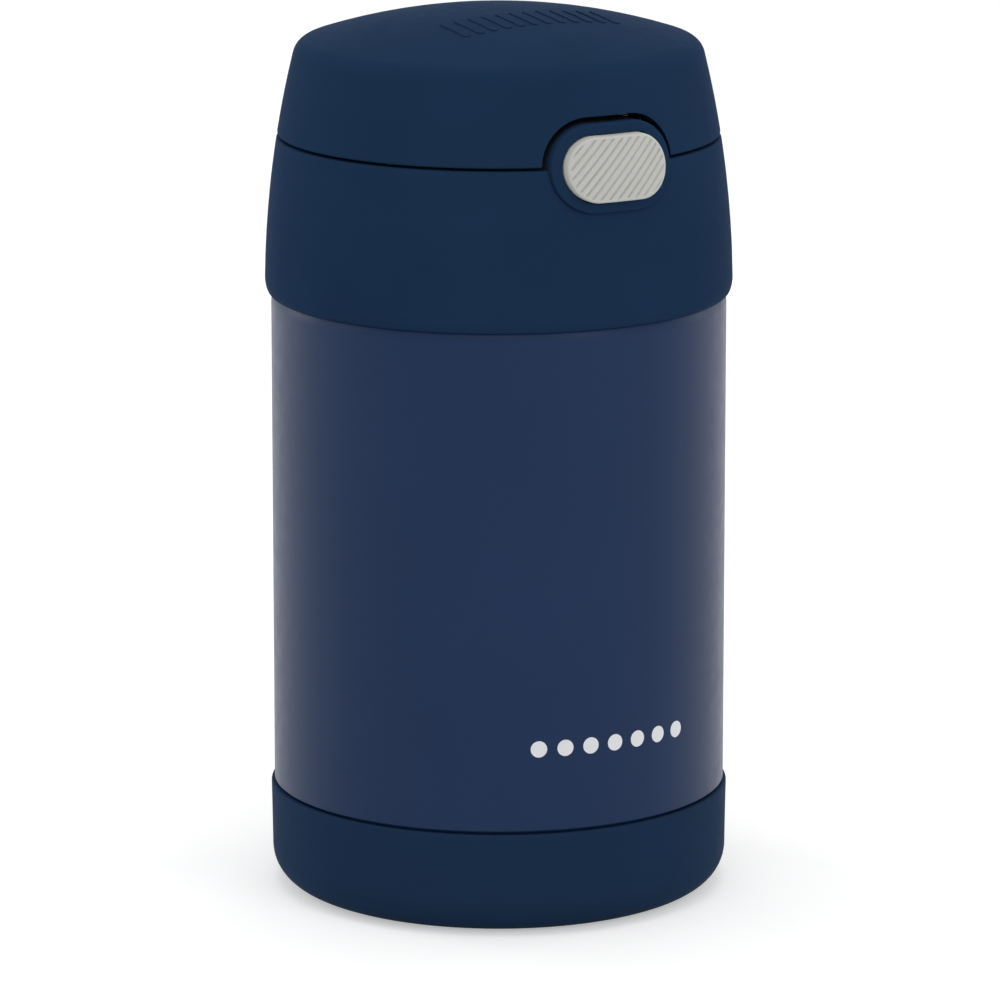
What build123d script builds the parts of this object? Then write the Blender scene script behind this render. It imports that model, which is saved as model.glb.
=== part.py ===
from build123d import *
import math
import os

os.makedirs("parts", exist_ok=True)

# Insulated food jar: a vacuum-walled steel jar on a moulded boot, closed by a screw-on lid.
# The lid's domed cap flips back on a rear hinge when the button on its front is pressed, and
# opens the compartment that holds a folding spoon.
# Frame: millimetres, +Z up, origin at the centre of the base. The button faces -Y, the hinge +Y.

# ------------------------------------------------------------------ driving dimensions
HEIGHT = 173.0
BODY_RADIUS = 44.16
NECK_RADIUS = 39.0
MOUTH_RADIUS = 36.2
CAVITY_RADIUS = 37.6
CAVITY_FLOOR = 11.0
NECK_TOP = 136.0
SHOULDER_START = 115.7
SHOULDER_ARC = 4.0
SHELL_WALL = 0.7
VESSEL_WALL = 0.6

# Boot
BOOT_TOP = 20.3
BOOT_RADIUS = 44.78
BOOT_DRAFT = 0.016
BOOT_CORNER = 7.2
BOOT_FLOOR = 2.4
BOOT_RING_INNER = 31.0
BOOT_RECESS = 0.8
BOOT_EDGE = 0.4
BOOT_LIP = 1.2
BOOT_LIP_DROP = 1.0
FOOT_RADIUS = 42.4
FOOT_CORNER = 4.4
FOOT_STEP_LOW = 19.4
FOOT_STEP_HIGH = 21.0

# Floor of the vacuum space
PLATE_Z = 5.0
PLATE_FLANGE_TOP = 9.5
DIMPLE_Z = 6.4
DIMPLE_RADIUS = 8.0
DIMPLE_SLOPE = 2.0
SEAL_HOLE = 1.2
SEAL_BEAD_RADIUS = 3.0
SEAL_BEAD_DROP = 1.0
GETTER_X = 24.0
GETTER_RADIUS = 4.0
GETTER_HEIGHT = 2.2

# Lid skin: the collar and the cap share one long upright arc, closed by a spherical crown
LID_RADIUS = 45.37
LID_WIDEST_Z = 117.0
WALL_ARC = 198.0
CROWN_ARC = 119.0
SHOULDER_RADIUS = 3.9
LEAST_FILLET = 1.0
LIP_Z = 117.6
LIP_HEIGHT = 3.2
LIP_FLAT = 0.15
LIP_CLEARANCE = 0.3
LIP_OVERHANG = 0.55
SEAM_Z = 148.4
SEAM_GAP = 0.5
SEAM_EDGE_RADIUS = 0.5
COLLAR_WALL = 2.1
CAP_WALL = 2.0
LINER_INSET = 2.4
LINER_WALL = 1.4
LINER_RIM_Z = 150.2
LINER_RIM_HEIGHT = 1.4
LINER_RIM_FIT = 0.02

# Lid core and plug
DECK_Z = 139.4
DECK_THICK = 2.0
SKIRT_OUTER = 41.9
SKIRT_INNER = 40.4
SKIRT_Z = 120.4
PLUG_RADIUS = 35.0
PLUG_WALL = 1.5
PLUG_Z = 125.0
PLUG_CORNER = 3.0
FOAM_CLEARANCE = 0.05
FOAM_CORNER = 1.7
GASKET_LIP = 3.0
GASKET_OUTER = 39.2
GASKET_LIP_DRAFT = 0.25
GASKET_LIP_BAND = 0.8
LEDGE_INNER = 36.3
LEDGE_THICK = 1.6

# Button, its bezel and the latch
BUTTON_Z = 148.2
BUTTON_WIDTH = 21.4
BUTTON_HEIGHT = 12.3
BUTTON_PROUD = 2.6
BUTTON_RIM = 0.45
BUTTON_GAP = 0.25
GROOVE_PITCH = 1.338
GROOVE_WIDTH = 0.45
GROOVE_DEPTH = 0.3
GROOVE_MARGIN = 0.5
GROOVE_ANGLE = 45.0
GROOVE_COUNT = 14
BEZEL_WIDTH = 25.9
BEZEL_HEIGHT = 16.6
BEZEL_PROUD = 1.0
BEZEL_RIM = 0.45
BEZEL_BACK = 39.8
POCKET_GAP = 0.1
NOTCH_GAP = 1.2
CAP_NOTCH_BACK = 25.0
LINER_NOTCH_BACK = 35.2
THROUGH_FRONT = 8.0
FLANGE_MARGIN = 1.2
FLANGE_FRONT = 39.6
FLANGE_BACK = 38.6
CHAMBER_MARGIN = 1.5
CHAMBER_BACK = 35.9
HOUSING_FRONT_WALL = 34.6
HOUSING_BACK = 23.0
HOUSING_HALF_WIDTH = 8.2
HOUSING_TOP = 149.4
HOUSING_WALL = 1.2
HOUSING_FOOT_HALF_WIDTH = 13.0
HOUSING_FOOT = 1.0
LATCH_LOW = 143.0
LATCH_HIGH = 146.0
LATCH_HALF_WIDTH = 6.5
LATCH_RAIL = 1.5
LATCH_LEAD = 1.2
LATCH_PLATE_BACK = 37.8
LATCH_BAR_FRONT = 30.85
LATCH_BAR_BACK = 28.6
HOOK_FRONT = 33.8
HOOK_BACK = 32.2
HOOK_TIP = 31.0
HOOK_HALF_WIDTH = 4.0
HOOK_LOW = 141.2
HOOK_FOOT_LOW = 159.4
HOOK_FOOT_HIGH = 161.4
HOOK_FOOT_FRONT = 36.2
HOOK_FOOT_BACK = 30.6
HOOK_SLOT_MARGIN = 0.8
BARB_DROP = 0.4
BARB_LEAD = 0.9
BOSS_MARGIN = 1.5
BOSS_TOP = 168.0
BUTTON_SPRING_RADIUS = 1.8
BUTTON_SPRING_TURNS = 3.5

# Hinge
HINGE_Y = 43.15
HINGE_Z = 148.4
KNUCKLE_RADIUS = 3.2
HINGE_CLEARANCE_RADIUS = 3.7
PIN_RADIUS = 1.25
PIN_RUNNING_GAP = 0.05
PIN_CHAMFER = 0.25
PIN_HALF_LENGTH = 13.5
BORE_LENGTH = 40.0
CAP_KNUCKLE = (4.0, 9.0)
COLLAR_KNUCKLE = (9.25, 13.5)
KNUCKLE_GAP = 0.4
COLLAR_WEB_Z = 139.5
SHELF_Z = 144.5
CAP_WEB_Z = 154.8
WEB_SINK = 0.5
WEB_ROOM = 4.8
SPRING_HALF_LENGTH = 3.2
SPRING_RADIUS = 2.0
SPRING_TURNS = 5
SPRING_WIRE = 0.55
LEG_OVERLAP = 0.2
LOWER_LEG = (-0.6, -3.6)
UPPER_LEG = (-2.4, 3.6)
SPRING_ROOM_RADIUS = 3.3

# Folding spoon
SPOON_Y = 6.0
BOWL_X = 8.5
BOWL_HALF_LENGTH = 23.0
BOWL_HALF_WIDTH = 15.5
BOWL_DEPTH = 6.6
SPOON_SHEET = 0.9
RIM_Z = 148.2
PIVOT_X = -29.5
HANDLE_TIP_X = 32.0
PIVOT_Z = 148.9
EYE_RADIUS = 1.6
EYE_HALF_WIDTH = 4.7
NECK_THICK = 1.2
HANDLE_LOW = 148.8
HANDLE_HIGH = 150.6
HANDLE_WIDTH = 12.0
HANDLE_EDGE = 0.6
EYE_CLEARANCE = 0.5
SPOON_PIN_RADIUS = 0.8
PIN_HEAD = 0.4
PIN_HEAD_MARGIN = 0.5

# Tray under the cap
TRAY_GAP = 0.2
TRAY_THICK = 1.4
REST_HALF_LENGTH = 16.0
REST_HALF_WIDTH = 10.5
REST_TOP = 142.85
STOP_GAP = 0.4
STOP_LENGTH = 9.0
STOP_RISE = 0.3
FINGER_X = -24.0
FINGER_LENGTH = 6.0
FINGER_GAP = 0.4
FINGER_THICK = 1.0


# ------------------------------------------------------------------ shared profiles
def skin(z, inset=0.0):
    """Radius of the lid's upright wall at a height, or of a surface set in from it."""
    return LID_RADIUS - WALL_ARC + math.sqrt((WALL_ARC - inset) ** 2 - (z - LID_WIDEST_Z) ** 2)


def lid_section(inset, bottom):
    """Half section of everything inside the lid's domed skin, above a height."""
    with BuildSketch(Plane.XZ) as section:
        with Locations((LID_RADIUS - WALL_ARC, LID_WIDEST_Z)):
            Circle(WALL_ARC - inset)
        with Locations((0, HEIGHT - CROWN_ARC)):
            Circle(CROWN_ARC - inset, mode=Mode.INTERSECT)
        with Locations((LID_RADIUS, (bottom + HEIGHT) / 2)):
            Rectangle(2 * LID_RADIUS, HEIGHT - bottom + 2, mode=Mode.INTERSECT)
        with Locations((LID_RADIUS, bottom - 2)):
            Rectangle(2 * LID_RADIUS, 4, mode=Mode.SUBTRACT)
        fillet(section.vertices().sort_by(Axis.X)[-2], max(SHOULDER_RADIUS - inset, LEAST_FILLET))
    return section.sketch


def wall_band(outer_inset, inner_inset, bottom, top):
    """Section of a ring that follows the lid's wall between two insets and two heights."""
    middle = (bottom + top) / 2
    with BuildSketch(Plane.XZ) as band:
        with BuildLine():
            outside = ThreePointArc(*[(skin(z, outer_inset), z) for z in (bottom, middle, top)])
            inside = ThreePointArc(*[(skin(z, inner_inset), z) for z in (bottom, middle, top)])
            Line(outside @ 0, inside @ 0)
            Line(outside @ 1, inside @ 1)
        make_face()
    return band.sketch


def front_slot(width, height, depth):
    """A stadium centred on the button, drawn on an upright plane this far out from the axis."""
    with BuildSketch(Plane.XZ.offset(depth)) as outline:
        with Locations((0, BUTTON_Z)):
            SlotOverall(width, height)
    return outline.sketch


def front_block(half_width, low, high, back, front):
    """Rectangle on the plane of a block's back, with the distance to its front."""
    with BuildSketch(Plane.XZ.offset(back)) as outline:
        with Locations((0, (low + high) / 2)):
            Rectangle(2 * half_width, high - low)
    return outline.sketch, front - back


def hinge_disc(radius, start, length):
    """A disc about the hinge axis, with the length it is to be extruded along +X."""
    with BuildSketch(Plane.YZ.offset(start)) as disc:
        with Locations((HINGE_Y, HINGE_Z)):
            Circle(radius)
    return disc.sketch, length


def coil(radius, length, turns):
    """A left-handed coil of square wire along +Z that starts on the X axis."""
    with BuildPart() as spring:
        with BuildLine():
            path = Helix(length / turns, length, radius, lefthand=True)
        with BuildSketch(Plane(path @ 0, x_dir=(1, 0, 0), z_dir=path % 0)):
            Rectangle(SPRING_WIRE, SPRING_WIRE)
        sweep(path=path, is_frenet=True)
    return spring.part


def finish_part(builder, name):
    """Label a finished piece and write it out."""
    builder.part.label = name
    export_step(builder.part, f"parts/{name}.step")


# ------------------------------------------------------------------ jar
with BuildPart() as base_boot:
    boot_low_radius = BOOT_RADIUS - BOOT_DRAFT * BOOT_TOP
    with BuildSketch(Plane.XZ):
        with BuildLine():
            outside = FilletPolyline(
                (BOOT_RING_INNER, 0),
                (boot_low_radius, 0),
                (BOOT_RADIUS, BOOT_TOP),
                (FOOT_RADIUS + BOOT_LIP, BOOT_TOP),
                radius=(BOOT_CORNER, BOOT_EDGE),
            )
            inside = FilletPolyline(
                outside @ 1,
                (FOOT_RADIUS, BOOT_TOP - BOOT_LIP_DROP),
                (FOOT_RADIUS, BOOT_FLOOR),
                (0, BOOT_FLOOR),
                radius=(0, FOOT_CORNER),
            )
            recess_edge = BOOT_RING_INNER - BOOT_RECESS
            Polyline(inside @ 1, (0, BOOT_RECESS), (recess_edge, BOOT_RECESS), outside @ 0)
        make_face()
    revolve(axis=Axis.Z)
finish_part(base_boot, "base_boot")

with BuildPart() as outer_shell:
    neck_curve = SHOULDER_ARC * 0.3
    with BuildSketch(Plane.XZ):
        with BuildLine():
            foot = FilletPolyline(
                (FOOT_RADIUS - FOOT_CORNER - 0.1, BOOT_FLOOR),
                (FOOT_RADIUS, BOOT_FLOOR),
                (FOOT_RADIUS, FOOT_STEP_LOW),
                (BODY_RADIUS, FOOT_STEP_HIGH),
                (BODY_RADIUS, SHOULDER_START),
                radius=(FOOT_CORNER, 0, 0),
            )
            shoulder = RadiusArc(
                foot @ 1,
                (BODY_RADIUS - SHOULDER_ARC, SHOULDER_START + SHOULDER_ARC),
                -SHOULDER_ARC,
            )
            neck = FilletPolyline(
                shoulder @ 1,
                (NECK_RADIUS, SHOULDER_START + SHOULDER_ARC),
                (NECK_RADIUS, NECK_TOP),
                (MOUTH_RADIUS + VESSEL_WALL, NECK_TOP),
                radius=(neck_curve - 0.1, 1.2),
            )
            offset(amount=SHELL_WALL, side=Side.LEFT)
        make_face()
    revolve(axis=Axis.Z)
finish_part(outer_shell, "outer_shell")

with BuildPart() as inner_vessel:
    with BuildSketch(Plane.XZ):
        with BuildLine():
            FilletPolyline(
                (0, CAVITY_FLOOR),
                (CAVITY_RADIUS, CAVITY_FLOOR),
                (CAVITY_RADIUS, SHOULDER_START - 3),
                (MOUTH_RADIUS, SHOULDER_START + SHOULDER_ARC),
                (MOUTH_RADIUS, NECK_TOP),
                radius=(10.0, 8.0, 8.0),
            )
            offset(amount=VESSEL_WALL, side=Side.RIGHT)
        make_face()
    revolve(axis=Axis.Z)
finish_part(inner_vessel, "inner_vessel")

with BuildPart() as base_plate:
    plate_radius = FOOT_RADIUS - SHELL_WALL
    with BuildSketch(Plane.XZ):
        with BuildLine():
            FilletPolyline(
                (plate_radius, PLATE_FLANGE_TOP),
                (plate_radius, PLATE_Z),
                (DIMPLE_RADIUS + DIMPLE_SLOPE, PLATE_Z),
                (DIMPLE_RADIUS, DIMPLE_Z),
                (SEAL_HOLE, DIMPLE_Z),
                radius=(1.8, 0.6, 0.6),
            )
            offset(amount=SHELL_WALL, side=Side.RIGHT)
        make_face()
    revolve(axis=Axis.Z)
finish_part(base_plate, "base_plate")

with BuildPart() as vacuum_seal:
    bead_low = DIMPLE_Z - SEAL_BEAD_DROP
    bead_top = DIMPLE_Z + SEAL_BEAD_DROP
    with BuildSketch(Plane.XZ):
        with BuildLine():
            Polyline(
                (0, bead_low),
                (SEAL_BEAD_RADIUS - SEAL_BEAD_DROP, bead_low),
                (SEAL_BEAD_RADIUS, DIMPLE_Z),
                (SEAL_HOLE, DIMPLE_Z),
                (SEAL_HOLE, bead_top),
                (0, bead_top),
                close=True,
            )
        make_face()
    revolve(axis=Axis.Z)
finish_part(vacuum_seal, "vacuum_seal")

with BuildPart() as getter:
    with BuildSketch(Plane.XY.offset(PLATE_Z + SHELL_WALL)):
        with Locations((GETTER_X, 0)):
            Circle(GETTER_RADIUS)
    extrude(amount=GETTER_HEIGHT)
    fillet(getter.edges().group_by(Axis.Z)[-1], 0.5)
finish_part(getter, "getter")

# ------------------------------------------------------------------ lid core
with BuildPart() as lid_core:
    with BuildSketch(Plane.XZ):
        with BuildLine():
            Polyline(
                (0, DECK_Z - DECK_THICK),
                (SKIRT_INNER, DECK_Z - DECK_THICK),
                (SKIRT_INNER, SKIRT_Z),
                (SKIRT_OUTER, SKIRT_Z),
                (SKIRT_OUTER, DECK_Z),
                (0, DECK_Z),
                close=True,
            )
        make_face()
    revolve(axis=Axis.Z)
    chamfer(lid_core.edges().group_by(Axis.Z)[0], 0.5)
finish_part(lid_core, "lid_core")

with BuildPart() as plug_cup:
    plug_top = DECK_Z - DECK_THICK
    with BuildSketch(Plane.XZ):
        with BuildLine():
            FilletPolyline(
                (0, PLUG_Z),
                (PLUG_RADIUS, PLUG_Z),
                (PLUG_RADIUS, plug_top),
                radius=(PLUG_CORNER,),
            )
            offset(amount=PLUG_WALL, side=Side.LEFT)
        make_face()
    revolve(axis=Axis.Z)
finish_part(plug_cup, "plug_cup")

with BuildPart() as core_insulation:
    with BuildSketch(Plane.XY.offset(PLUG_Z + PLUG_WALL)):
        Circle(PLUG_RADIUS - PLUG_WALL - FOAM_CLEARANCE)
    extrude(amount=plug_top - PLUG_Z - PLUG_WALL)
    fillet(core_insulation.edges().group_by(Axis.Z)[0], FOAM_CORNER)
finish_part(core_insulation, "core_insulation")

with BuildPart() as lid_gasket:
    lip_inner = PLUG_RADIUS + GASKET_LIP_DRAFT
    lip_outer = MOUTH_RADIUS - LIP_CLEARANCE
    with BuildSketch(Plane.XZ):
        with BuildLine():
            Polyline(
                (lip_inner, plug_top),
                (lip_inner, NECK_TOP - GASKET_LIP),
                (lip_outer - GASKET_LIP_DRAFT, NECK_TOP - GASKET_LIP),
                (lip_outer, NECK_TOP - GASKET_LIP_BAND),
                (lip_outer, NECK_TOP),
                (GASKET_OUTER, NECK_TOP),
                (GASKET_OUTER, plug_top),
                close=True,
            )
        make_face()
    revolve(axis=Axis.Z)
finish_part(lid_gasket, "lid_gasket")

# ------------------------------------------------------------------ lid collar
with BuildPart() as lid_collar:
    lip_inside = BODY_RADIUS - LIP_OVERHANG + LIP_CLEARANCE
    lip_top = LIP_Z + LIP_HEIGHT
    collar_top = SEAM_Z - SEAM_GAP / 2
    collar_middle = (lip_top + collar_top) / 2
    with BuildSketch(Plane.XZ):
        with BuildLine():
            flat = Line((lip_inside, LIP_Z), (lip_inside + LIP_FLAT, LIP_Z))
            lip = EllipticalCenterArc(
                (lip_inside + LIP_FLAT, lip_top),
                skin(lip_top) - lip_inside - LIP_FLAT,
                LIP_HEIGHT,
                start_angle=-90,
                arc_size=90,
            )
            outside = ThreePointArc(
                lip @ 1,
                (skin(collar_middle), collar_middle),
                (skin(collar_top), collar_top),
            )
            inside = ThreePointArc(
                (skin(collar_top, COLLAR_WALL), collar_top),
                (skin(collar_middle, COLLAR_WALL), collar_middle),
                (skin(lip_top, COLLAR_WALL), lip_top),
            )
            Line(outside @ 1, inside @ 0)
            Line(inside @ 1, flat @ 0)
        make_face()
    revolve(axis=Axis.Z)
    rim = lid_collar.edges().filter_by(GeomType.CIRCLE).group_by(Axis.Z)[-1].sort_by(SortBy.LENGTH)
    fillet(rim[-1], SEAM_EDGE_RADIUS)
    # welding ledge that rests on the core's deck
    with BuildSketch(Plane.XZ):
        with BuildLine():
            Polyline(
                (LEDGE_INNER, DECK_Z),
                (skin(DECK_Z, 1.0), DECK_Z),
                (skin(DECK_Z, 1.0), DECK_Z + LEDGE_THICK),
                (LEDGE_INNER, DECK_Z + LEDGE_THICK),
                close=True,
            )
        make_face()
    revolve(axis=Axis.Z)
    # pocket for the button's bezel, and room behind it for the latch housing
    pocket_width = BEZEL_WIDTH + 2 * POCKET_GAP
    extrude(
        front_slot(pocket_width, BEZEL_HEIGHT + 2 * POCKET_GAP, HOUSING_FRONT_WALL),
        amount=LID_RADIUS - HOUSING_FRONT_WALL,
        mode=Mode.SUBTRACT,
    )
    ledge_cut, ledge_depth = front_block(
        pocket_width / 2, DECK_Z, BUTTON_Z, HOUSING_BACK, skin(DECK_Z, COLLAR_WALL + 1.0)
    )
    extrude(ledge_cut, amount=ledge_depth, mode=Mode.SUBTRACT)
    # hinge: a shelf joins the two knuckles, with room above it for the cap's own
    relief, relief_length = hinge_disc(HINGE_CLEARANCE_RADIUS, -COLLAR_KNUCKLE[0], 2 * COLLAR_KNUCKLE[0])
    extrude(relief, amount=relief_length, mode=Mode.SUBTRACT)
    knuckle_back = HINGE_Y - KNUCKLE_RADIUS
    knuckle_reach = HINGE_Y + KNUCKLE_RADIUS
    web_foot = skin(COLLAR_WEB_Z, WEB_SINK)
    shelf_share = (SHELF_Z - COLLAR_WEB_Z) / (HINGE_Z - COLLAR_WEB_Z)
    with BuildSketch(Plane.YZ.offset(-COLLAR_KNUCKLE[1])):
        with BuildLine():
            Polyline(
                (web_foot, COLLAR_WEB_Z),
                (web_foot + shelf_share * (knuckle_reach - web_foot), SHELF_Z),
                (knuckle_back, SHELF_Z),
                (knuckle_back, DECK_Z + LEDGE_THICK),
                close=True,
            )
        make_face()
    extrude(amount=2 * COLLAR_KNUCKLE[1])
    for start in (COLLAR_KNUCKLE[0], -COLLAR_KNUCKLE[1]):
        with BuildSketch(Plane.YZ.offset(start)):
            with Locations((HINGE_Y, HINGE_Z)):
                Circle(KNUCKLE_RADIUS)
            with BuildLine():
                Polyline(
                    (knuckle_back, HINGE_Z),
                    (knuckle_reach, HINGE_Z),
                    (web_foot, COLLAR_WEB_Z),
                    (knuckle_back, DECK_Z + LEDGE_THICK),
                    close=True,
                )
            make_face()
        extrude(amount=COLLAR_KNUCKLE[1] - COLLAR_KNUCKLE[0])
    pin_bore, bore_length = hinge_disc(PIN_RADIUS, -BORE_LENGTH / 2, BORE_LENGTH)
    extrude(pin_bore, amount=bore_length, mode=Mode.SUBTRACT)
finish_part(lid_collar, "lid_collar")

# ------------------------------------------------------------------ button and latch
with BuildPart() as button_bezel:
    extrude(front_slot(BEZEL_WIDTH, BEZEL_HEIGHT, BEZEL_BACK), amount=THROUGH_FRONT)
    revolve(lid_section(-BEZEL_PROUD, LIP_Z), axis=Axis.Z, mode=Mode.INTERSECT)
    fillet(button_bezel.faces().sort_by(Axis.Y)[0].edges(), BEZEL_RIM)
    extrude(
        front_slot(BUTTON_WIDTH + 2 * BUTTON_GAP, BUTTON_HEIGHT + 2 * BUTTON_GAP, BEZEL_BACK),
        amount=THROUGH_FRONT,
        mode=Mode.SUBTRACT,
    )
finish_part(button_bezel, "button_bezel")

with BuildPart() as groove_cutter:
    with BuildSketch(Plane.XZ.offset(FLANGE_FRONT)):
        with Locations((0, BUTTON_Z)):
            with Locations(Rotation(0, 0, GROOVE_ANGLE)):
                with GridLocations(0, GROOVE_PITCH, 1, GROOVE_COUNT):
                    SlotOverall(2 * BUTTON_WIDTH, GROOVE_WIDTH)
            SlotOverall(
                BUTTON_WIDTH - 2 * GROOVE_MARGIN,
                BUTTON_HEIGHT - 2 * GROOVE_MARGIN,
                mode=Mode.INTERSECT,
            )
    extrude(amount=THROUGH_FRONT)
    revolve(lid_section(GROOVE_DEPTH - BUTTON_PROUD, LIP_Z), axis=Axis.Z, mode=Mode.SUBTRACT)

with BuildPart() as push_button:
    extrude(front_slot(BUTTON_WIDTH, BUTTON_HEIGHT, FLANGE_FRONT), amount=THROUGH_FRONT)
    revolve(lid_section(-BUTTON_PROUD, LIP_Z), axis=Axis.Z, mode=Mode.INTERSECT)
    fillet(push_button.faces().sort_by(Axis.Y)[0].edges(), BUTTON_RIM)
    add(groove_cutter.part, mode=Mode.SUBTRACT)
    extrude(
        front_slot(BUTTON_WIDTH + 2 * FLANGE_MARGIN, BUTTON_HEIGHT + 2 * FLANGE_MARGIN, FLANGE_BACK),
        amount=FLANGE_FRONT - FLANGE_BACK,
    )
finish_part(push_button, "push_button")

with BuildPart() as latch_slider:
    plate, depth = front_block(LATCH_HALF_WIDTH, LATCH_LOW, LATCH_HIGH, LATCH_BAR_BACK, FLANGE_BACK)
    extrude(plate, amount=depth)
    window, depth = front_block(
        LATCH_HALF_WIDTH - LATCH_RAIL, LATCH_LOW, LATCH_HIGH, LATCH_BAR_FRONT, LATCH_PLATE_BACK
    )
    extrude(window, amount=depth, mode=Mode.SUBTRACT)
    lead_in = latch_slider.edges().filter_by(Axis.X).group_by(Axis.Z)[-1].sort_by(Axis.Y)
    chamfer(lead_in[-2], LATCH_LEAD)
finish_part(latch_slider, "latch_slider")

with BuildPart() as latch_housing:
    rim_depth = BEZEL_BACK - HOUSING_FRONT_WALL
    extrude(front_slot(BEZEL_WIDTH, BEZEL_HEIGHT, HOUSING_FRONT_WALL), amount=rim_depth)
    box, depth = front_block(HOUSING_HALF_WIDTH, DECK_Z, HOUSING_TOP, HOUSING_BACK, HOUSING_FRONT_WALL)
    extrude(box, amount=depth)
    foot, depth = front_block(
        HOUSING_FOOT_HALF_WIDTH, DECK_Z, DECK_Z + HOUSING_FOOT, HOUSING_BACK + 1.0, HOUSING_FRONT_WALL
    )
    extrude(foot, amount=depth)
    chamber = front_slot(
        BUTTON_WIDTH + 2 * CHAMBER_MARGIN, BUTTON_HEIGHT + 2 * CHAMBER_MARGIN, CHAMBER_BACK
    )
    extrude(chamber, amount=THROUGH_FRONT, mode=Mode.SUBTRACT)
    inside, depth = front_block(
        HOUSING_HALF_WIDTH - HOUSING_WALL,
        DECK_Z + HOUSING_FOOT,
        HOUSING_TOP - HOUSING_WALL,
        HOUSING_BACK + HOUSING_WALL,
        CHAMBER_BACK,
    )
    extrude(inside, amount=depth, mode=Mode.SUBTRACT)
    with BuildSketch(Plane.XY.offset(HOUSING_TOP)):
        with Locations((0, -(HOOK_TIP + HOOK_FRONT) / 2)):
            Rectangle(
                2 * HOOK_HALF_WIDTH + 2 * HOOK_SLOT_MARGIN, HOOK_FRONT - HOOK_TIP + 2 * HOOK_SLOT_MARGIN
            )
    extrude(amount=-2 * HOUSING_WALL, mode=Mode.SUBTRACT)
finish_part(latch_housing, "latch_housing")

spring_back = HOUSING_BACK + HOUSING_WALL
spring_length = LATCH_BAR_BACK - spring_back
spring_plane = Plane(
    origin=(0, -(spring_back + SPRING_WIRE / 2), (LATCH_LOW + LATCH_HIGH) / 2),
    x_dir=(1, 0, 0),
    z_dir=(0, -1, 0),
)
with BuildPart() as button_spring:
    with Locations(spring_plane.location):
        add(coil(BUTTON_SPRING_RADIUS, spring_length - SPRING_WIRE, BUTTON_SPRING_TURNS))
finish_part(button_spring, "button_spring")

# ------------------------------------------------------------------ hinge
with BuildPart() as hinge_pin:
    pin_disc, pin_length = hinge_disc(PIN_RADIUS, -PIN_HALF_LENGTH, 2 * PIN_HALF_LENGTH)
    extrude(pin_disc, amount=pin_length)
    chamfer(hinge_pin.edges().filter_by(GeomType.CIRCLE), PIN_CHAMFER)
finish_part(hinge_pin, "hinge_pin")

coil_plane = Plane(origin=(-SPRING_HALF_LENGTH, HINGE_Y, HINGE_Z), x_dir=(0, -1, 0), z_dir=(1, 0, 0))
with BuildPart() as hinge_spring:
    with Locations(coil_plane.location):
        add(coil(SPRING_RADIUS, 2 * SPRING_HALF_LENGTH, SPRING_TURNS))
    leg_y = HINGE_Y - SPRING_RADIUS
    legs = (
        (-SPRING_HALF_LENGTH, LEG_OVERLAP, LOWER_LEG),
        (SPRING_HALF_LENGTH, -LEG_OVERLAP, UPPER_LEG),
    )
    for leg_x, leg_start, (lean, reach) in legs:
        with BuildLine():
            leg = Line((leg_x, leg_y, HINGE_Z + leg_start), (leg_x, leg_y + lean, HINGE_Z + reach))
        with BuildSketch(Plane(leg @ 0, x_dir=(1, 0, 0), z_dir=leg % 0)):
            Rectangle(SPRING_WIRE, SPRING_WIRE)
        sweep(path=leg)
finish_part(hinge_spring, "hinge_spring")

# ------------------------------------------------------------------ flip cap
notch_width = BEZEL_WIDTH + 2 * NOTCH_GAP
notch_height = BEZEL_HEIGHT + 2 * NOTCH_GAP

with BuildPart() as flip_cap:
    cap_bottom = SEAM_Z + SEAM_GAP / 2
    revolve(lid_section(0, cap_bottom), axis=Axis.Z)
    revolve(lid_section(CAP_WALL, cap_bottom), axis=Axis.Z, mode=Mode.SUBTRACT)
    rim = flip_cap.edges().filter_by(GeomType.CIRCLE).group_by(Axis.Z)[0].sort_by(SortBy.LENGTH)
    fillet(rim[-1], SEAM_EDGE_RADIUS)
    extrude(
        front_slot(notch_width, notch_height, CAP_NOTCH_BACK),
        amount=LID_RADIUS - CAP_NOTCH_BACK,
        mode=Mode.SUBTRACT,
    )
    relief, relief_length = hinge_disc(
        HINGE_CLEARANCE_RADIUS, -COLLAR_KNUCKLE[1] - KNUCKLE_GAP, 2 * (COLLAR_KNUCKLE[1] + KNUCKLE_GAP)
    )
    extrude(relief, amount=relief_length, mode=Mode.SUBTRACT)
    # hinge: a hood over the spring carries the two knuckles
    web_outer = KNUCKLE_RADIUS * math.cos(math.radians(30))
    web_rise = KNUCKLE_RADIUS * math.sin(math.radians(30))
    with BuildSketch(Plane.YZ.offset(-CAP_KNUCKLE[1])):
        with Locations((HINGE_Y, HINGE_Z)):
            Circle(KNUCKLE_RADIUS)
        with BuildLine():
            Polyline(
                (HINGE_Y, HINGE_Z),
                (HINGE_Y + web_outer, HINGE_Z + web_rise),
                (skin(CAP_WEB_Z, WEB_SINK), CAP_WEB_Z),
                (skin(CAP_WEB_Z, CAP_WALL), CAP_WEB_Z),
                (HINGE_Y - web_outer, HINGE_Z + web_rise),
                close=True,
            )
        make_face()
    extrude(amount=2 * CAP_KNUCKLE[1])
    spring_room, room_length = hinge_disc(SPRING_ROOM_RADIUS, -CAP_KNUCKLE[0], 2 * CAP_KNUCKLE[0])
    extrude(spring_room, amount=room_length, mode=Mode.SUBTRACT)
    pin_bore, bore_length = hinge_disc(PIN_RADIUS + PIN_RUNNING_GAP, -BORE_LENGTH / 2, BORE_LENGTH)
    extrude(pin_bore, amount=bore_length, mode=Mode.SUBTRACT)
finish_part(flip_cap, "flip_cap")

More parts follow.
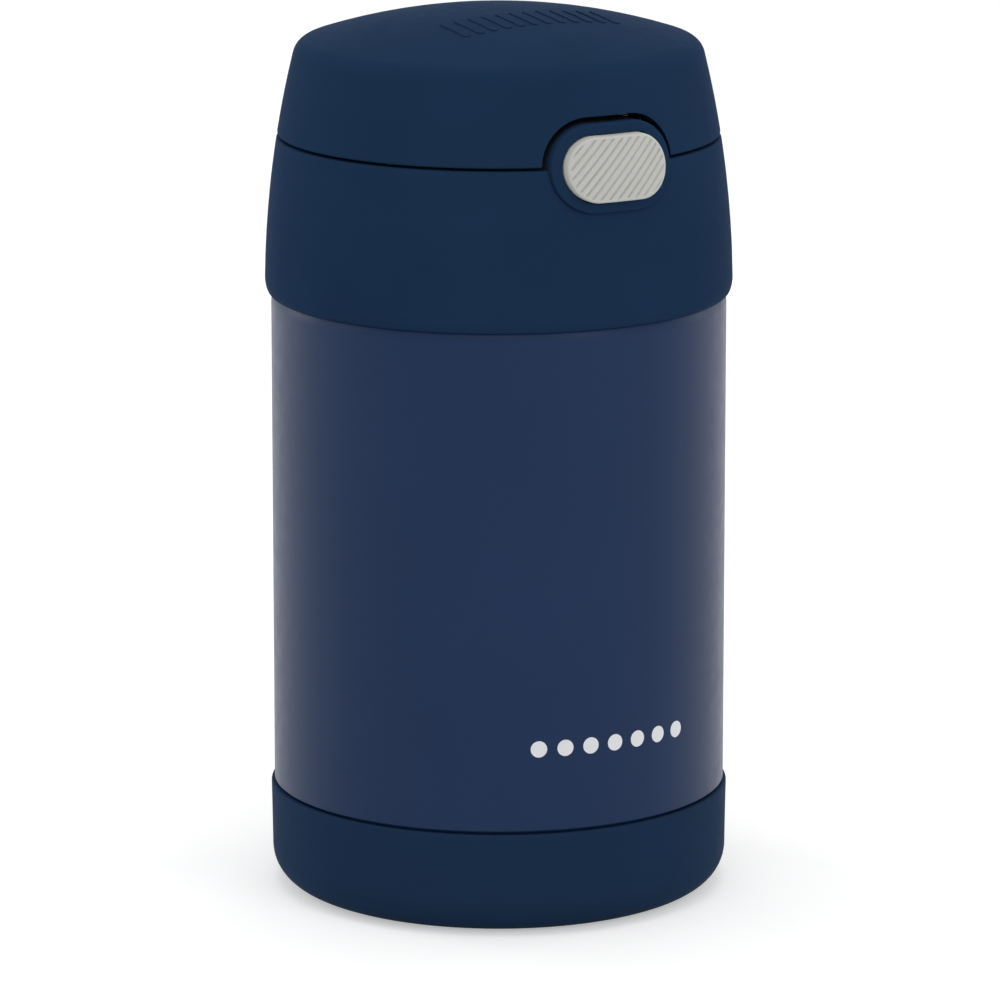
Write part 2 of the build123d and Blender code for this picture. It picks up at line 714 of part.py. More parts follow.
with BuildPart() as hook_boss:
    boss, depth = front_block(
        HOOK_HALF_WIDTH + BOSS_MARGIN, HOOK_FOOT_HIGH, BOSS_TOP, HOOK_FOOT_BACK, LID_RADIUS
    )
    extrude(boss, amount=depth)
    revolve(lid_section(LINER_INSET + LINER_WALL / 2, LINER_RIM_Z), axis=Axis.Z, mode=Mode.INTERSECT)

with BuildPart() as cap_liner:
    liner_inner = LINER_INSET + LINER_WALL
    revolve(lid_section(LINER_INSET, LINER_RIM_Z), axis=Axis.Z)
    revolve(
        wall_band(CAP_WALL + LINER_RIM_FIT, liner_inner, LINER_RIM_Z, LINER_RIM_Z + LINER_RIM_HEIGHT),
        axis=Axis.Z,
    )
    revolve(lid_section(liner_inner, LINER_RIM_Z), axis=Axis.Z, mode=Mode.SUBTRACT)
    # pad that carries the catch, and the opening for the button's bezel
    add(hook_boss.part)
    extrude(
        front_slot(notch_width, notch_height, LINER_NOTCH_BACK),
        amount=LID_RADIUS - LINER_NOTCH_BACK,
        mode=Mode.SUBTRACT,
    )
    # room for the hinge knuckles and the spring's upper leg
    relief, relief_length = hinge_disc(
        HINGE_CLEARANCE_RADIUS + LIP_CLEARANCE,
        -COLLAR_KNUCKLE[1] - KNUCKLE_GAP,
        2 * (COLLAR_KNUCKLE[1] + KNUCKLE_GAP),
    )
    extrude(relief, amount=relief_length, mode=Mode.SUBTRACT)
    with BuildSketch(Plane.XZ.offset(-HINGE_Y)):
        with Locations((0, (LINER_RIM_Z + CAP_WEB_Z) / 2)):
            Rectangle(2 * CAP_KNUCKLE[1] + 1.0, CAP_WEB_Z - LINER_RIM_Z + 1.0)
    extrude(amount=WEB_ROOM, mode=Mode.SUBTRACT)
finish_part(cap_liner, "cap_liner")

with BuildPart() as cap_hook:
    barb_top = LATCH_LOW - BARB_DROP
    with BuildSketch(Plane.YZ.offset(-HOOK_HALF_WIDTH)):
        with BuildLine():
            Polyline(
                (-HOOK_FOOT_FRONT, HOOK_FOOT_HIGH),
                (-HOOK_FOOT_FRONT, HOOK_FOOT_LOW),
                (-HOOK_FRONT, HOOK_FOOT_LOW),
                (-HOOK_FRONT, HOOK_LOW),
                (-HOOK_BACK, HOOK_LOW),
                (-HOOK_TIP, HOOK_LOW + BARB_LEAD),
                (-HOOK_TIP, barb_top),
                (-HOOK_BACK, barb_top),
                (-HOOK_BACK, HOOK_FOOT_LOW),
                (-HOOK_FOOT_BACK, HOOK_FOOT_LOW),
                (-HOOK_FOOT_BACK, HOOK_FOOT_HIGH),
                close=True,
            )
        make_face()
    extrude(amount=2 * HOOK_HALF_WIDTH)
finish_part(cap_hook, "cap_hook")

# ------------------------------------------------------------------ spoon and its tray
with BuildPart() as spoon_tray:
    with BuildSketch(Plane.XY.offset(DECK_Z)):
        Circle(LEDGE_INNER - TRAY_GAP)
        with Locations((0, -HOUSING_BACK - 10)):
            Rectangle(2 * HOUSING_FOOT_HALF_WIDTH + 1.0, 20 + 1.0, mode=Mode.SUBTRACT)
    extrude(amount=TRAY_THICK)
    # oval rest under the bowl
    with BuildSketch(Plane.XY.offset(DECK_Z)):
        with Locations((BOWL_X, SPOON_Y)):
            Ellipse(REST_HALF_LENGTH, REST_HALF_WIDTH)
            Ellipse(REST_HALF_LENGTH - TRAY_THICK, REST_HALF_WIDTH - TRAY_THICK, mode=Mode.SUBTRACT)
    extrude(amount=REST_TOP - DECK_Z)
    # stop beyond the bowl's tip
    with BuildSketch(Plane.XY.offset(DECK_Z)):
        with Locations((BOWL_X + BOWL_HALF_LENGTH + STOP_GAP + TRAY_THICK / 2, SPOON_Y)):
            RectangleRounded(TRAY_THICK, STOP_LENGTH, 0.6)
    extrude(amount=RIM_Z + STOP_RISE - DECK_Z)
    # spring fingers that hold the handle
    finger_face = HANDLE_WIDTH / 2 + FINGER_GAP
    for side in (-1, 1):
        with BuildSketch(Plane.YZ.offset(FINGER_X)):
            with BuildLine():
                Polyline(
                    (SPOON_Y + side * finger_face, DECK_Z),
                    (SPOON_Y + side * finger_face, HANDLE_HIGH + 0.3),
                    (SPOON_Y + side * (finger_face - 2 * FINGER_GAP), HANDLE_HIGH + 0.9),
                    (SPOON_Y + side * (finger_face + FINGER_GAP), HANDLE_HIGH + 2.2),
                    (SPOON_Y + side * (finger_face + FINGER_GAP + FINGER_THICK), HANDLE_HIGH + 1.4),
                    (SPOON_Y + side * (finger_face + FINGER_GAP + FINGER_THICK), DECK_Z),
                    close=True,
                )
            make_face()
        extrude(amount=FINGER_LENGTH)
finish_part(spoon_tray, "spoon_tray")

with BuildPart() as bowl_outer:
    Sphere(1.0)
    scale(by=(BOWL_HALF_LENGTH, BOWL_HALF_WIDTH, BOWL_DEPTH))
with BuildPart() as bowl_inner:
    Sphere(1.0)
    scale(
        by=(BOWL_HALF_LENGTH - SPOON_SHEET, BOWL_HALF_WIDTH - SPOON_SHEET, BOWL_DEPTH - SPOON_SHEET)
    )

with BuildPart() as spoon_bowl:
    with Locations((BOWL_X, SPOON_Y, RIM_Z)):
        add(bowl_outer.part)
    with Locations((BOWL_X, SPOON_Y, RIM_Z + BOWL_DEPTH)):
        Box(4 * BOWL_HALF_LENGTH, 4 * BOWL_HALF_WIDTH, 2 * BOWL_DEPTH, mode=Mode.SUBTRACT)
    # neck from the bowl to the pivot, ending in a rolled eye
    neck_end = BOWL_X - BOWL_HALF_LENGTH + 5.0
    with BuildSketch(Plane.XZ.offset(-SPOON_Y - EYE_HALF_WIDTH)):
        with Locations((PIVOT_X, PIVOT_Z)):
            Circle(EYE_RADIUS)
        with Locations(((PIVOT_X + neck_end) / 2, RIM_Z - NECK_THICK / 2)):
            Rectangle(neck_end - PIVOT_X, NECK_THICK)
    extrude(amount=2 * EYE_HALF_WIDTH)
    with Locations((BOWL_X, SPOON_Y, RIM_Z)):
        add(bowl_inner.part, mode=Mode.SUBTRACT)
    with BuildSketch(Plane.XZ.offset(-SPOON_Y - 10)):
        with Locations((PIVOT_X, PIVOT_Z)):
            Circle(SPOON_PIN_RADIUS + PIN_RUNNING_GAP)
    extrude(amount=20, mode=Mode.SUBTRACT)
finish_part(spoon_bowl, "spoon_bowl")

with BuildPart() as spoon_handle:
    handle_start = PIVOT_X + EYE_RADIUS + EYE_CLEARANCE
    handle_length = HANDLE_TIP_X - PIVOT_X + HANDLE_WIDTH / 2
    with BuildSketch(Plane.XY.offset(HANDLE_LOW)):
        with Locations((HANDLE_TIP_X - handle_length / 2, SPOON_Y)):
            SlotOverall(handle_length, HANDLE_WIDTH)
        with Locations((handle_start - 20, SPOON_Y)):
            Rectangle(40, 2 * HANDLE_WIDTH, mode=Mode.SUBTRACT)
    extrude(amount=HANDLE_HIGH - HANDLE_LOW)
    fillet(spoon_handle.edges().group_by(Axis.Z)[-1].filter_by(Axis.Y, reverse=True), HANDLE_EDGE)
    # ears that straddle the eye of the bowl's neck
    ear_top = HANDLE_HIGH - HANDLE_EDGE
    for side in (-1, 1):
        ear_face = SPOON_Y + side * (HANDLE_WIDTH / 2 - SPOON_SHEET / 2)
        with BuildSketch(Plane.XZ.offset(-ear_face - SPOON_SHEET / 2)):
            with Locations((PIVOT_X, PIVOT_Z)):
                Circle(EYE_RADIUS + EYE_CLEARANCE)
            with Locations(((PIVOT_X + handle_start) / 2 + 1, (HANDLE_LOW + ear_top) / 2)):
                Rectangle(handle_start - PIVOT_X + 2, ear_top - HANDLE_LOW)
        extrude(amount=SPOON_SHEET)
    # the strap is a channel, open underneath
    with BuildSketch(Plane.XY.offset(HANDLE_LOW)):
        with Locations((HANDLE_TIP_X - handle_length / 2, SPOON_Y)):
            SlotOverall(handle_length - 2 * SPOON_SHEET, HANDLE_WIDTH - 2 * SPOON_SHEET)
    extrude(amount=HANDLE_HIGH - HANDLE_LOW - SPOON_SHEET, mode=Mode.SUBTRACT)
    with BuildSketch(Plane.XZ.offset(-SPOON_Y - 10)):
        with Locations((PIVOT_X, PIVOT_Z)):
            Circle(SPOON_PIN_RADIUS)
    extrude(amount=20, mode=Mode.SUBTRACT)
finish_part(spoon_handle, "spoon_handle")

with BuildPart() as spoon_pin:
    pin_half = HANDLE_WIDTH / 2
    with BuildSketch(Plane.XZ.offset(-SPOON_Y - pin_half)):
        with Locations((PIVOT_X, PIVOT_Z)):
            Circle(SPOON_PIN_RADIUS)
    extrude(amount=2 * pin_half)
    for plane_y in (-SPOON_Y - pin_half - PIN_HEAD, -SPOON_Y + pin_half):
        with BuildSketch(Plane.XZ.offset(plane_y)):
            with Locations((PIVOT_X, PIVOT_Z)):
                Circle(SPOON_PIN_RADIUS + PIN_HEAD_MARGIN)
        extrude(amount=PIN_HEAD)
finish_part(spoon_pin, "spoon_pin")
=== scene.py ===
import math

import bpy
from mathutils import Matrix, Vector


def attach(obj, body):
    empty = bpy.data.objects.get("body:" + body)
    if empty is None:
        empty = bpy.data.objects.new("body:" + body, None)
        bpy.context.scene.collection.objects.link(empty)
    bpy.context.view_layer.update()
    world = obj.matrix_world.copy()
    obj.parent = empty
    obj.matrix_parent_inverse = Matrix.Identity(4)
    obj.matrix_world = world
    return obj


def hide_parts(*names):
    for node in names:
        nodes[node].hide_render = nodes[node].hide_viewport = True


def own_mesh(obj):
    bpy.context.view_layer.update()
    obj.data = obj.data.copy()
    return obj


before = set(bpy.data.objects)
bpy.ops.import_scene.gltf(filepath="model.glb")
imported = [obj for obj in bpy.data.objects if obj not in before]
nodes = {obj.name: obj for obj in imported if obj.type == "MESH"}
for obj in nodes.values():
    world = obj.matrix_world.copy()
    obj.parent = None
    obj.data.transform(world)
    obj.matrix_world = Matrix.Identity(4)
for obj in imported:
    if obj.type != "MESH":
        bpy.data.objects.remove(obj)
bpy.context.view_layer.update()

# ------------------------------------------------------------------ sizes of the room
# Places and distances are in metres, angles in degrees, and the lens and its sensor in mm.
# Turns are counted from the camera's side of the jar.
BUTTON_TURN = 30.2
CAMERA_DISTANCE, CAMERA_HEIGHT, CAMERA_TILT = 1.2382, 0.35396, 12.659
LENS_LENGTH, LENS_SHIFT, SENSOR_WIDTH = 233.8, 0.00121, 36.0
CLIP_START, CLIP_END = 0.05, 50.0
ROOM_FILL, ROOM_BACKDROP = 0.57, 1.0
TABLE_SIZE, TABLE_DROP = 3.6, 0.00002
TABLE_SHADE, TABLE_LIFT, TABLE_ROUGHNESS, TABLE_SPECULAR = 0.8, 0.4, 0.9, 0.1
LAMP_AIM = 0.09

# Each soft box has a name, a turn, a height, a distance, its two sides and its power.
SOFT_BOXES = (
    ("left_back_box", -118, 0.5, 1.3, (0.5, 1.0), 2.96),
    ("left_side_box", -82, 0.5, 1.3, (0.5, 1.0), 1.2),
    ("front_box", 0, 0.9, 1.3, (0.6, 0.6), 1.4),
    ("right_front_box", 45, 0.6, 1.3, (0.6, 0.9), 2.4),
    ("right_back_box", 120, 0.5, 1.3, (0.5, 1.0), 1.6),
    ("top_box", 0, 1.5, 0.25, (0.9, 0.9), 3.3),
    ("top_back_box", 180, 1.3, 0.8, (0.9, 0.6), 1.7),
)

# ------------------------------------------------------------------ sizes of the pieces
# Lengths are in millimetres, which MM brings to Blender's metres, and angles in degrees.
# NEAR is how close two points are that count as in line.
MM = 0.001
NEAR, MERGE_DISTANCE, SMOOTH_ANGLE, SMOOTH_STEPS = 0.01, 0.002, 32, 720

# Walls of lid, body, neck and skirt, and the crown
LID_RADIUS, LID_WIDEST_Z, WALL_ARC = 45.37, 117.0, 198.0
BODY_RADIUS, NECK_RADIUS, SKIRT_INNER = 44.16, 39.0, 40.4
CROWN_TOP, CROWN_ARC = 173.0, 119.0

# Button, from the grid that its face is cut from to the flange behind it. The bands that press
# its ribs repeat after BAND_REPEAT of its map, and RIB_SHIFT moves them by part of a rib.
BUTTON_Z, BUTTON_WIDTH, BUTTON_HEIGHT = 148.2, 21.4, 12.3
BUTTON_PROUD, BUTTON_RIM, BUTTON_SMOOTH_ANGLE = 2.59, 0.45, 50
GRID_SIDE, GRID_COLUMNS, GRID_ROWS = 24.4, 270, 200
FACE_SPARE, OUTLINE_SPARE = 6.0, 5.0
CORNER_SEGMENTS, CORNER_GAP = 32, 0.001
DOME_LOW, DOME_HIGH, DOME_STEP, DOME_BACK = 138, 158, 2, 30
RIB_PITCH, RIB_DEPTH, RIB_MARGIN, RIB_FADE, RIB_SHIFT = 1.338, 0.42, 0.5, 0.25, 0.25
BAND_REPEAT, BAND_CONTRAST, BAND_INTENSITY = math.pi / 10, 3.0, 2.0
FLANGE_MARGIN, FLANGE_FRONT, FLANGE_BACK, FLANGE_OVERLAP = 1.2, 39.6, 38.6, 0.02

# Screw threads: a ridge with a broad foot and a narrow, rounded crest
THREAD_PITCH, THREAD_TURNS, THREAD_STEPS, THREAD_RUN_OUT = 4.4, 2, 144, 6
THREAD_FOOT, THREAD_ROOT = 2.6, 0.3
CREST_SHARE, CREST_ROUNDING, CREST_SEGMENTS = 0.35, 0.25, 4
NECK_THREAD_DEPTH, NECK_THREAD_START = 0.85, 123.5
SKIRT_THREAD_DEPTH, SKIRT_THREAD_START = 0.45, 125.7

# Springs; a leg has its end of the coil, and how far it leans along y and reaches along z
SPRING_WIRE, WIRE_SIDES, COIL_STEPS = 0.55, 16, 48
HINGE_Y, HINGE_Z = 43.15, 148.4
SPRING_RADIUS, SPRING_HALF_LENGTH, SPRING_TURNS = 2.0, 3.2, 5
SPRING_LEGS, LEG_ZONE = ((-1, -0.6, -3.6), (1, -2.4, 3.6)), 0.3
RETURN_BACK, RETURN_FRONT, RETURN_RADIUS, RETURN_TURNS = -24.2, -28.6, 1.8, 3.5
LATCH_Z, BUTTON_TRAVEL = 144.5, 2.5

# Dots of ink on the body, cut from rods
DOT_COUNT, DOT_PITCH, DOT_RADIUS, DOT_Z = 7, 5.2, 1.6, 37.0
DOT_SIDES, DOT_ROD = 48, 2.0
INK_THICK, INK_ROOT, INK_REACH = 0.03, 0.1, 5.0

# Bars on the crown, cut from tall blocks
BAR_COUNT, BAR_PITCH, BAR_WIDTH, BAR_LENGTH, BAR_Y, BAR_PROUD = 12, 3.0, 1.5, 10.0, -12.0, 0.2
BAR_BLOCK, BAR_END_SHARE, BAR_SEGMENTS = 10.0, 0.49, 10
SKIN_FIRST, SKIN_LAST, SKIN_STEP, CROWN_STEPS = 2, 32, 2, 360


# ------------------------------------------------------------------ camera, table and light
def place_camera():
    """A long lens a little above the jar, with the button turned to its right."""
    turn = math.radians(BUTTON_TURN)
    data = bpy.data.cameras.new("studio_camera")
    data.lens, data.sensor_width, data.shift_x = LENS_LENGTH, SENSOR_WIDTH, LENS_SHIFT
    data.clip_start, data.clip_end = CLIP_START, CLIP_END
    camera = bpy.data.objects.new("studio_camera", data)
    bpy.context.scene.collection.objects.link(camera)
    camera.location = (
        -CAMERA_DISTANCE * math.sin(turn), -CAMERA_DISTANCE * math.cos(turn), CAMERA_HEIGHT,
    )
    camera.rotation_euler = (math.radians(90) - math.radians(CAMERA_TILT), 0, -turn)
    bpy.context.scene.camera = camera


def seen_directly(tree):
    """1 for rays that show the room itself: from the camera, a gloss or a clear wall."""
    path = tree.nodes.new("ShaderNodeLightPath")
    total = path.outputs["Is Camera Ray"]
    for ray in ("Is Glossy Ray", "Is Transmission Ray"):
        either = tree.nodes.new("ShaderNodeMath")
        either.operation = "MAXIMUM"
        tree.links.new(total, either.inputs[0])
        tree.links.new(path.outputs[ray], either.inputs[1])
        total = either.outputs[0]
    return total


def light_room():
    """Soft light from all round, and a plain white background."""
    world = bpy.data.worlds.new("studio_room")
    bpy.context.scene.world = world
    world.use_nodes = True
    tree = world.node_tree
    background = tree.nodes["Background"]
    background.inputs["Color"].default_value = (1, 1, 1, 1)
    strength = tree.nodes.new("ShaderNodeMapRange")
    strength.inputs["To Min"].default_value = ROOM_FILL
    strength.inputs["To Max"].default_value = ROOM_BACKDROP
    tree.links.new(seen_directly(tree), strength.inputs["Value"])
    tree.links.new(strength.outputs["Result"], background.inputs["Strength"])


def lay_table():
    """A pale table that runs out into the white background and keeps the jar's shadow."""
    bpy.ops.object.select_all(action="DESELECT")
    bpy.ops.mesh.primitive_plane_add(size=TABLE_SIZE, location=(0, 0, -TABLE_DROP))
    table = bpy.context.object
    table.name = "table_top"
    surface = bpy.data.materials.new("table_white")
    surface.use_nodes = True
    tree = surface.node_tree
    shader = tree.nodes["Principled BSDF"]
    shader.inputs["Base Color"].default_value = (TABLE_SHADE, TABLE_SHADE, TABLE_SHADE, 1)
    shader.inputs["Roughness"].default_value = TABLE_ROUGHNESS
    shader.inputs["Specular IOR Level"].default_value = TABLE_SPECULAR
    shader.inputs["Emission Color"].default_value = (1, 1, 1, 1)
    glow = tree.nodes.new("ShaderNodeMath")
    glow.operation = "MULTIPLY"
    glow.inputs[1].default_value = TABLE_LIFT
    tree.links.new(seen_directly(tree), glow.inputs[0])
    tree.links.new(glow.outputs[0], shader.inputs["Emission Strength"])
    table.data.materials.append(surface)


def hang_box(name, turn, height, distance, sides, power):
    """A soft box on its bearing, aimed at the middle of the jar."""
    data = bpy.data.lights.new(name, "AREA")
    data.shape = "RECTANGLE"
    data.size, data.size_y = sides
    data.energy = power
    lamp = bpy.data.objects.new(name, data)
    bpy.context.scene.collection.objects.link(lamp)
    bearing = math.radians(turn - BUTTON_TURN)
    place = Vector((distance * math.sin(bearing), -distance * math.cos(bearing), height))
    lamp.location = place
    lamp.rotation_euler = (Vector((0, 0, LAMP_AIM)) - place).to_track_quat("-Z", "Y").to_euler()


place_camera()
light_room()
lay_table()
for box in SOFT_BOXES:
    hang_box(*box)

# ------------------------------------------------------------------ finishes
# Noise stays mostly between these two values. Detail is how many finer waves it is made of.
NOISE_LOW, NOISE_HIGH = 0.3, 0.7
TONE_DETAIL, RUB_DETAIL, GRAIN_DETAIL = 3.0, 4.0, 2.0

# Tone and rub have waves to the metre, and how far colour or roughness drifts. A grain has
# waves to the metre, its depth in mm, and a number for each axis that is small along the grain.
PLASTIC_TONE, PLASTIC_RUB = (60, 0.04), (500, 0.04)
EVEN = (1, 1, 1)
OUTER_GRAIN = ((4200, 0.006, EVEN), (1500, 0.005, EVEN))
INNER_GRAIN = ((1800, 0.006, EVEN),)


def linear(red, green, blue):
    """The colour for a shader from its everyday 0 to 255 values."""
    channels = []
    for value in (red, green, blue):
        value /= 255
        channels.append(value / 12.92 if value <= 0.04045 else ((value + 0.055) / 1.055) ** 2.4)
    return channels


def noise(tree, waves, detail, stretch=EVEN):
    """Noise on the piece itself, this many waves to the metre, drawn out along an axis if asked."""
    place = tree.nodes.new("ShaderNodeTexCoord").outputs["Object"]
    if stretch != EVEN:
        mapping = tree.nodes.new("ShaderNodeMapping")
        mapping.inputs["Scale"].default_value = stretch
        tree.links.new(place, mapping.inputs["Vector"])
        place = mapping.outputs["Vector"]
    texture = tree.nodes.new("ShaderNodeTexNoise")
    texture.inputs["Scale"].default_value = waves
    texture.inputs["Detail"].default_value = detail
    tree.links.new(place, texture.inputs["Vector"])
    return texture.outputs["Fac"]


def spread(tree, value, low, high):
    """Noise brought to a range."""
    ranged = tree.nodes.new("ShaderNodeMapRange")
    ranged.inputs["From Min"].default_value = NOISE_LOW
    ranged.inputs["From Max"].default_value = NOISE_HIGH
    ranged.inputs["To Min"].default_value = low
    ranged.inputs["To Max"].default_value = high
    tree.links.new(value, ranged.inputs["Value"])
    return ranged.outputs["Result"]


def surface_finish(name, colour, roughness, specular, tone, rub, grain, metallic=0.0):
    """A finish whose colour and roughness drift over the piece, with one or more grains."""
    material = bpy.data.materials.new(name)
    material.use_nodes = True
    tree = material.node_tree
    shader = tree.nodes["Principled BSDF"]
    shader.inputs["Metallic"].default_value = metallic
    shader.inputs["Specular IOR Level"].default_value = specular
    mix = tree.nodes.new("ShaderNodeMix")
    mix.data_type = "RGBA"
    waves, drift = tone
    mix.inputs["A"].default_value = (*[channel * (1 - drift) for channel in colour], 1)
    mix.inputs["B"].default_value = (*[min(1, channel * (1 + drift)) for channel in colour], 1)
    tree.links.new(spread(tree, noise(tree, waves, TONE_DETAIL), 0, 1), mix.inputs["Factor"])
    tree.links.new(mix.outputs["Result"], shader.inputs["Base Color"])
    waves, drift = rub
    rough = spread(tree, noise(tree, waves, RUB_DETAIL), roughness - drift, roughness + drift)
    tree.links.new(rough, shader.inputs["Roughness"])
    normal = None
    for waves, depth, stretch in grain:
        bump = tree.nodes.new("ShaderNodeBump")
        bump.inputs["Strength"].default_value = 1.0
        bump.inputs["Distance"].default_value = depth * MM
        tree.links.new(noise(tree, waves, GRAIN_DETAIL, stretch), bump.inputs["Height"])
        if normal:
            tree.links.new(normal, bump.inputs["Normal"])
        normal = bump.outputs["Normal"]
    tree.links.new(normal, shader.inputs["Normal"])
    return material


lid_plastic = surface_finish(
    "navy_moulded_plastic", linear(29, 51, 79), 0.6, 0.006, PLASTIC_TONE, PLASTIC_RUB, OUTER_GRAIN,
)
boot_plastic = surface_finish(
    "navy_boot_plastic", linear(30, 51, 78), 0.6, 0.012, PLASTIC_TONE, PLASTIC_RUB, OUTER_GRAIN,
)
coated_steel = surface_finish(
    "navy_satin_paint", linear(28, 49, 84), 0.34, 0.13, (30, 0.03), (300, 0.03),
    ((700, 0.004, EVEN), (2500, 0.002, EVEN)),
)
button_plastic = surface_finish(
    "light_grey_plastic", linear(198, 199, 194), 0.45, 0.3, (90, 0.02), (600, 0.04),
    ((3000, 0.006, EVEN),),
)
vessel_steel = surface_finish(
    "brushed_vessel_steel", linear(196, 194, 190), 0.3, 0.5, (60, 0.02), (150, 0.02),
    ((600, 0.0012, (0.03, 0.03, 2.0)),), metallic=1.0,
)
spoon_steel = surface_finish(
    "polished_spoon_steel", linear(205, 203, 199), 0.18, 0.5, (60, 0.02), (200, 0.02),
    ((600, 0.0008, (0.05, 2.0, 2.0)),), metallic=1.0,
)
spring_steel = surface_finish(
    "spring_steel", linear(150, 148, 144), 0.3, 0.5, (300, 0.05), (800, 0.05),
    ((2500, 0.003, EVEN),), metallic=1.0,
)
seal_braze = surface_finish(
    "seal_braze", linear(150, 140, 120), 0.45, 0.5, (400, 0.08), (900, 0.06),
    ((1500, 0.02, EVEN),), metallic=1.0,
)
getter_metal = surface_finish(
    "getter_metal", linear(96, 94, 92), 0.55, 0.5, (400, 0.06), (900, 0.06),
    ((2500, 0.01, EVEN),), metallic=1.0,
)
liner_plastic = surface_finish(
    "navy_liner_plastic", linear(28, 50, 76), 0.4, 0.3, PLASTIC_TONE, PLASTIC_RUB, INNER_GRAIN,
)
core_plastic = surface_finish(
    "grey_core_plastic", linear(58, 62, 68), 0.45, 0.3, PLASTIC_TONE, PLASTIC_RUB, INNER_GRAIN,
)
tray_plastic = surface_finish(
    "grey_tray_plastic", linear(120, 124, 128), 0.45, 0.3, PLASTIC_TONE, PLASTIC_RUB, INNER_GRAIN,
)
latch_plastic = surface_finish(
    "black_latch_plastic", linear(40, 42, 45), 0.4, 0.35, (90, 0.04), (600, 0.05),
    ((2000, 0.006, EVEN),),
)
gasket_silicone = surface_finish(
    "clear_grey_silicone", linear(196, 198, 200), 0.38, 0.4, (90, 0.03), (600, 0.05),
    ((1500, 0.006, EVEN),),
)
foam = surface_finish(
    "white_foam", linear(226, 224, 214), 0.9, 0.2, (200, 0.05), (700, 0.05),
    ((1800, 0.06, EVEN),),
)
white_ink = surface_finish(
    "white_screen_ink", linear(236, 237, 240), 0.5, 0.3, (300, 0.02), (900, 0.05),
    ((2500, 0.004, EVEN),),
)

node_finish = {
    "base_boot": boot_plastic,
    "outer_shell": coated_steel,
    "inner_vessel": vessel_steel,
    "base_plate": vessel_steel,
    "vacuum_seal": seal_braze,
    "getter": getter_metal,
    "lid_gasket": gasket_silicone,
    "lid_core": core_plastic,
    "plug_cup": core_plastic,
    "core_insulation": foam,
    "lid_collar": lid_plastic,
    "spoon_tray": tray_plastic,
    "spoon_bowl": spoon_steel,
    "spoon_handle": spoon_steel,
    "spoon_pin": spoon_steel,
    "button_bezel": lid_plastic,
    "push_button": button_plastic,
    "latch_slider": latch_plastic,
    "latch_housing": latch_plastic,
    "button_spring": spring_steel,
    "hinge_pin": spring_steel,
    "hinge_spring": spring_steel,
    "flip_cap": lid_plastic,
    "cap_liner": liner_plastic,
    "cap_hook": latch_plastic,
}
for node_name, finish in node_finish.items():
    node = nodes[node_name]
    node.data.materials.clear()
    node.data.materials.append(finish)


# ------------------------------------------------------------------ making pieces
def begin(name, add, **settings):
    """Add a primitive with nothing else selected, and name it."""
    bpy.ops.object.select_all(action="DESELECT")
    add(**settings)
    piece = bpy.context.object
    piece.name = name
    piece.data.name = name
    bpy.ops.object.transform_apply(location=True, rotation=True, scale=True)
    return piece


def hold(piece):
    """Make one piece the only one selected, and the active one."""
    bpy.ops.object.select_all(action="DESELECT")
    piece.select_set(True)
    bpy.context.view_layer.objects.active = piece


def edit(piece, wanted=None, kind="VERT"):
    """Open a piece for editing, with all of it selected, or the points or edges that are wanted."""
    hold(piece)
    mesh = piece.data
    for items in (mesh.vertices, mesh.edges, mesh.polygons):
        items.foreach_set("select", [wanted is None] * len(items))
    if wanted and kind == "VERT":
        for vertex in mesh.vertices:
            vertex.select = wanted(vertex.co / MM)
    if wanted and kind == "EDGE":
        for line in mesh.edges:
            line.select = wanted(*[mesh.vertices[index].co / MM for index in line.vertices])
    bpy.context.tool_settings.mesh_select_mode = (kind == "VERT", kind == "EDGE", False)
    bpy.ops.object.mode_set(mode="EDIT")


def done(piece):
    """Leave edit mode."""
    bpy.ops.object.mode_set(mode="OBJECT")
    return piece


def close_up(piece):
    """Merge doubled points and turn every face outwards."""
    edit(piece)
    bpy.ops.mesh.remove_doubles(threshold=MERGE_DISTANCE * MM)
    bpy.ops.mesh.normals_make_consistent(inside=False)
    return done(piece)


def close_ends(piece):
    """Fill the open ends of a swept piece."""
    edit(piece)
    bpy.ops.mesh.select_all(action="DESELECT")
    bpy.ops.mesh.select_non_manifold()
    bpy.ops.mesh.edge_face_add()
    return close_up(done(piece))


def carry(piece, y, z):
    """Move a whole piece, in its mesh, to where it belongs."""
    edit(piece)
    bpy.ops.transform.translate(value=(0, y * MM, z * MM))
    return done(piece)


def modify(piece, kind, **settings):
    """Put one modifier on a piece and apply it."""
    hold(piece)
    modifier = piece.modifiers.new(kind.lower(), kind)
    for key, value in settings.items():
        setattr(modifier, key, value)
    bpy.ops.object.modifier_apply(modifier=modifier.name)


def fuse(piece, other, operation="UNION"):
    """Add another solid to a piece, or keep what they share, and drop the other."""
    modify(piece, "BOOLEAN", object=other, operation=operation, solver="EXACT")
    bpy.data.objects.remove(other, do_unlink=True)


def repeat(name, piece, count, move_on):
    """Copy a piece into a row, each copy with its own mesh, moved on by its number of steps."""
    copies = []
    for number in range(1, count):
        hold(piece)
        bpy.ops.object.duplicate(linked=False)
        copy = bpy.context.object
        edit(copy)
        move_on(number)
        copies.append(done(copy))
    hold(piece)
    for copy in copies:
        copy.select_set(True)
    bpy.ops.object.join()
    piece.name = name
    return piece


def fit(piece, material, body, slot, *replaced, angle=SMOOTH_ANGLE):
    """Smooth a finished piece, give it its finish and let it ride on its body."""
    hold(piece)
    bpy.ops.object.shade_smooth_by_angle(angle=math.radians(angle))
    piece.data.materials.clear()
    piece.data.materials.append(material)
    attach(piece, body)
    if replaced:
        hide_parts(*replaced)


